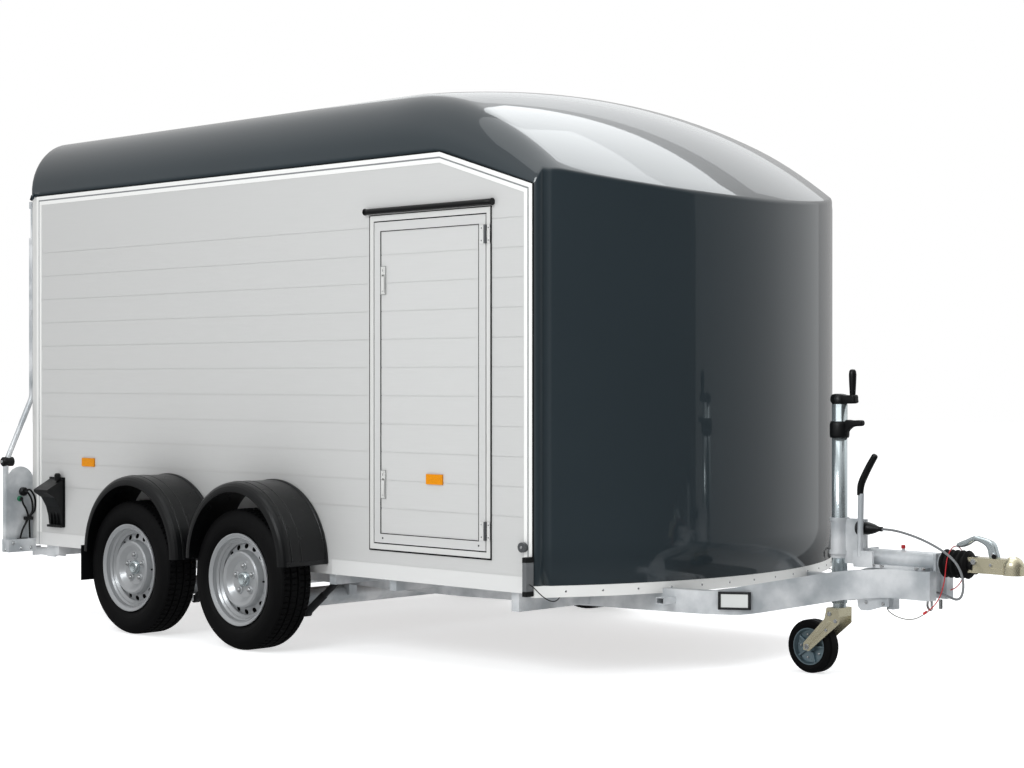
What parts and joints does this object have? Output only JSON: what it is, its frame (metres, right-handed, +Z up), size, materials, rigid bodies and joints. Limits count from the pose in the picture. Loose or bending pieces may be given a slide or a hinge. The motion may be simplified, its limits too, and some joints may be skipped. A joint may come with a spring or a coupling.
{
  "type": "enclosed cargo trailer",
  "caption": "Enclosed twin-axle cargo trailer with a rounded moulded front and roof, a hinged side door, a rear ramp, an overrun coupling and a jockey wheel.",
  "frame": {"origin": "ground level, at the middle of the trailer's length and width", "axes": "+X forwards towards the coupling, +Y to the left side, +Z up"},
  "size_m": [4.949, 2.406, 2.3671],
  "materials": {
    "wall_panels": "satin",
    "wall_trims": "satin",
    "door_frame": "satin",
    "door_panels": "satin",
    "shell": "gloss",
    "floor": "matt",
    "galvanised": "satin",
    "dark_steel": "satin",
    "zinc_yellow": "satin",
    "rims": "satin",
    "tyres": "matt",
    "black_plastic": "matt",
    "rubber": "matt",
    "cables": "matt",
    "steel_wire": "satin",
    "amber": "gloss",
    "marker_lenses": "gloss",
    "red_lenses": "gloss"
  },
  "bodies": {
    "trailer": {"side_wall_right": "wall_panels", "side_wall_left": "wall_panels", "wall_trims": "wall_trims", "door_rain_rail": "wall_trims", "rear_portal": "wall_trims", "front_skirt": "wall_trims", "door_frame": "door_frame", "door_hinge_frames": "door_frame", "body_shell": "shell", "floor_deck": "floor", "chassis_beam_right": "galvanised", "chassis_beam_left": "galvanised", "cross_members": "galvanised", "axle_front": "galvanised", "axle_rear": "galvanised", "rear_corner_frames": "galvanised", "prop_stand_brackets": "galvanised", "jockey_clamp": "galvanised", "jockey_tube": "galvanised", "overrun_housing": "galvanised", "handbrake_lever": "galvanised", "coupling_handle": "galvanised", "shock_absorbers": "dark_steel", "plug_holder": "dark_steel", "coupling_head": "zinc_yellow", "mudguards_right": "black_plastic", "mudguards_left": "black_plastic", "wheel_chocks": "black_plastic", "door_catch": "black_plastic", "lever_grip": "black_plastic", "jockey_crank": "black_plastic", "bellows": "rubber", "plug_cable": "cables", "cable_plug": "cables", "marker_wire_right": "cables", "marker_wire_left": "cables", "breakaway_cable": "steel_wire", "side_reflectors": "amber", "beam_reflectors": "amber", "front_marker_lamps": "marker_lenses", "rear_lamps": "red_lenses"},
    "side_door": {"side_door_leaf": "door_panels", "door_latches": "black_plastic", "door_hinge_leaves": "door_frame", "door_reflector": "amber"},
    "rear_ramp": {"ramp_panel": "door_panels", "ramp_fittings": "galvanised"},
    "prop_leg_right": {"prop_stand_right": "galvanised"},
    "prop_leg_left": {"prop_stand_left": "galvanised"},
    "road_wheel_front_right": {"tyre_front_right": "tyres", "wheel_front_right": "rims"},
    "road_wheel_front_left": {"tyre_front_left": "tyres", "wheel_front_left": "rims"},
    "road_wheel_rear_right": {"tyre_rear_right": "tyres", "wheel_rear_right": "rims"},
    "road_wheel_rear_left": {"tyre_rear_left": "tyres", "wheel_rear_left": "rims"},
    "jockey_inner": {"jockey_leg": "galvanised"},
    "jockey_swivel_fork": {"jockey_fork": "zinc_yellow"},
    "jockey_roller": {"jockey_tyre": "tyres", "jockey_rim": "galvanised"}
  },
  "joints": [
    {"name": "side_door_hinge", "type": "hinge", "parent": "trailer", "child": "side_door", "pos_m": [0.721, -0.9715, 1.1], "axis": [0, 0, 1], "range_deg": [0, 175]},
    {"name": "rear_ramp_hinge", "type": "hinge", "parent": "trailer", "child": "rear_ramp", "pos_m": [-2.4385, 0, 0.333], "axis": [0, -1, 0], "range_deg": [0, 101]},
    {"name": "prop_leg_right_hinge", "type": "hinge", "parent": "trailer", "child": "prop_leg_right", "pos_m": [-2.3105, -0.908, 0.296], "axis": [0, -1, 0], "range_deg": [0, 90]},
    {"name": "prop_leg_left_hinge", "type": "hinge", "parent": "trailer", "child": "prop_leg_left", "pos_m": [-2.3105, 0.908, 0.296], "axis": [0, -1, 0], "range_deg": [0, 90]},
    {"name": "road_wheel_front_right_spin", "type": "hinge", "parent": "trailer", "child": "road_wheel_front_right", "pos_m": [-0.5595, -1.078, 0.298], "axis": [0, 1, 0], "continuous": true},
    {"name": "road_wheel_front_left_spin", "type": "hinge", "parent": "trailer", "child": "road_wheel_front_left", "pos_m": [-0.5595, 1.078, 0.298], "axis": [0, 1, 0], "continuous": true},
    {"name": "road_wheel_rear_right_spin", "type": "hinge", "parent": "trailer", "child": "road_wheel_rear_right", "pos_m": [-1.3405, -1.078, 0.298], "axis": [0, 1, 0], "continuous": true},
    {"name": "road_wheel_rear_left_spin", "type": "hinge", "parent": "trailer", "child": "road_wheel_rear_left", "pos_m": [-1.3405, 1.078, 0.298], "axis": [0, 1, 0], "continuous": true},
    {"name": "jockey_slide", "type": "slide", "parent": "trailer", "child": "jockey_inner", "axis": [0, 0, 1], "range_m": [-0.2, 0.01]},
    {"name": "jockey_swivel", "type": "hinge", "parent": "jockey_inner", "child": "jockey_swivel_fork", "pos_m": [1.6815, 0, 0.26], "axis": [0, 0, 1], "continuous": true},
    {"name": "jockey_spin", "type": "hinge", "parent": "jockey_swivel_fork", "child": "jockey_roller", "pos_m": [1.5585, 0, 0.104], "axis": [0, 1, 0], "continuous": true}
  ]
}
